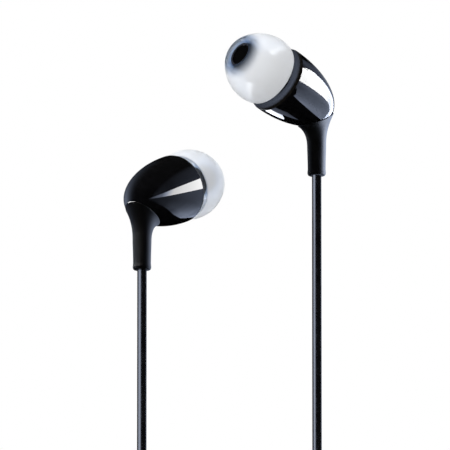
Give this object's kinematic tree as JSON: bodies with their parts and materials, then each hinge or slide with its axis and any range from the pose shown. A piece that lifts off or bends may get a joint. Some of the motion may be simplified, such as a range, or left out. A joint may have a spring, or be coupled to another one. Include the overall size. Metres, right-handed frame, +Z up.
{
  "type": "wired earphones",
  "caption": "In-ear earphones with glossy egg-shaped housings, pull-off silicone ear tips and matte cord boots, on a Y cord wound in a tied oval hank that ends in a 3.5 mm plug.",
  "frame": {"origin": "centre of the left nozzle's outlet, where the wearer's left ear holds the set", "axes": "+Z up as the set hangs, +X from the left earphone to the right one"},
  "size_m": [0.0567, 0.0331, 0.1543],
  "materials": {
    "housing": "polished black",
    "front_cover": "satin gloss black",
    "mesh": "dark woven mesh",
    "silicone": "milky translucent, satin",
    "boot": "matte black",
    "crimp": "satin",
    "wire": "enamelled",
    "board": "solder mask",
    "driver_frame": "moulded",
    "steel": "plated",
    "magnet": "nickel plated",
    "coil": "enamelled copper",
    "film": "clear film",
    "gasket": "foam",
    "cord": "glossy black jacket",
    "splitter": "satin black",
    "relief": "matte black",
    "tie": "matte dark grey",
    "plug_grip": "satin black",
    "contact": "gold plated",
    "insulator": "black"
  },
  "bodies": {
    "earphones": {"left_rear_shell": "housing", "left_front_cover": "front_cover", "left_nozzle_mesh": "mesh", "left_cord_boot": "boot", "left_cord_crimp": "crimp", "left_lead_wires": "wire", "left_terminal_board": "board", "left_driver_frame": "driver_frame", "left_driver_yoke": "steel", "left_driver_magnet": "magnet", "left_pole_plate": "steel", "left_voice_coil": "coil", "left_diaphragm": "film", "left_driver_gasket": "gasket", "right_rear_shell": "housing", "right_front_cover": "front_cover", "right_nozzle_mesh": "mesh", "right_cord_boot": "boot", "right_cord_crimp": "crimp", "right_lead_wires": "wire", "right_terminal_board": "board", "right_driver_frame": "driver_frame", "right_driver_yoke": "steel", "right_driver_magnet": "magnet", "right_pole_plate": "steel", "right_voice_coil": "coil", "right_diaphragm": "film", "right_driver_gasket": "gasket", "left_cord": "cord", "right_cord": "cord", "main_cord": "cord", "splitter_body": "splitter", "splitter_relief": "relief", "cord_hank": "cord", "hank_tie": "tie", "plug_relief": "relief", "plug_grip": "plug_grip", "plug_sleeve": "contact", "plug_ring_insulator": "insulator", "plug_ring": "contact", "plug_tip_insulator": "insulator", "plug_tip": "contact"},
    "left_tip": {"left_ear_tip": "silicone"},
    "right_tip": {"right_ear_tip": "silicone"}
  },
  "joints": [
    {"name": "left_tip_slide", "type": "slide", "parent": "earphones", "child": "left_tip", "axis": [0.5767, 0.7381, 0.3502], "range_m": [0, 0.008]},
    {"name": "right_tip_slide", "type": "slide", "parent": "earphones", "child": "right_tip", "axis": [-0.685, -0.6388, 0.3502], "range_m": [0, 0.008]}
  ]
}
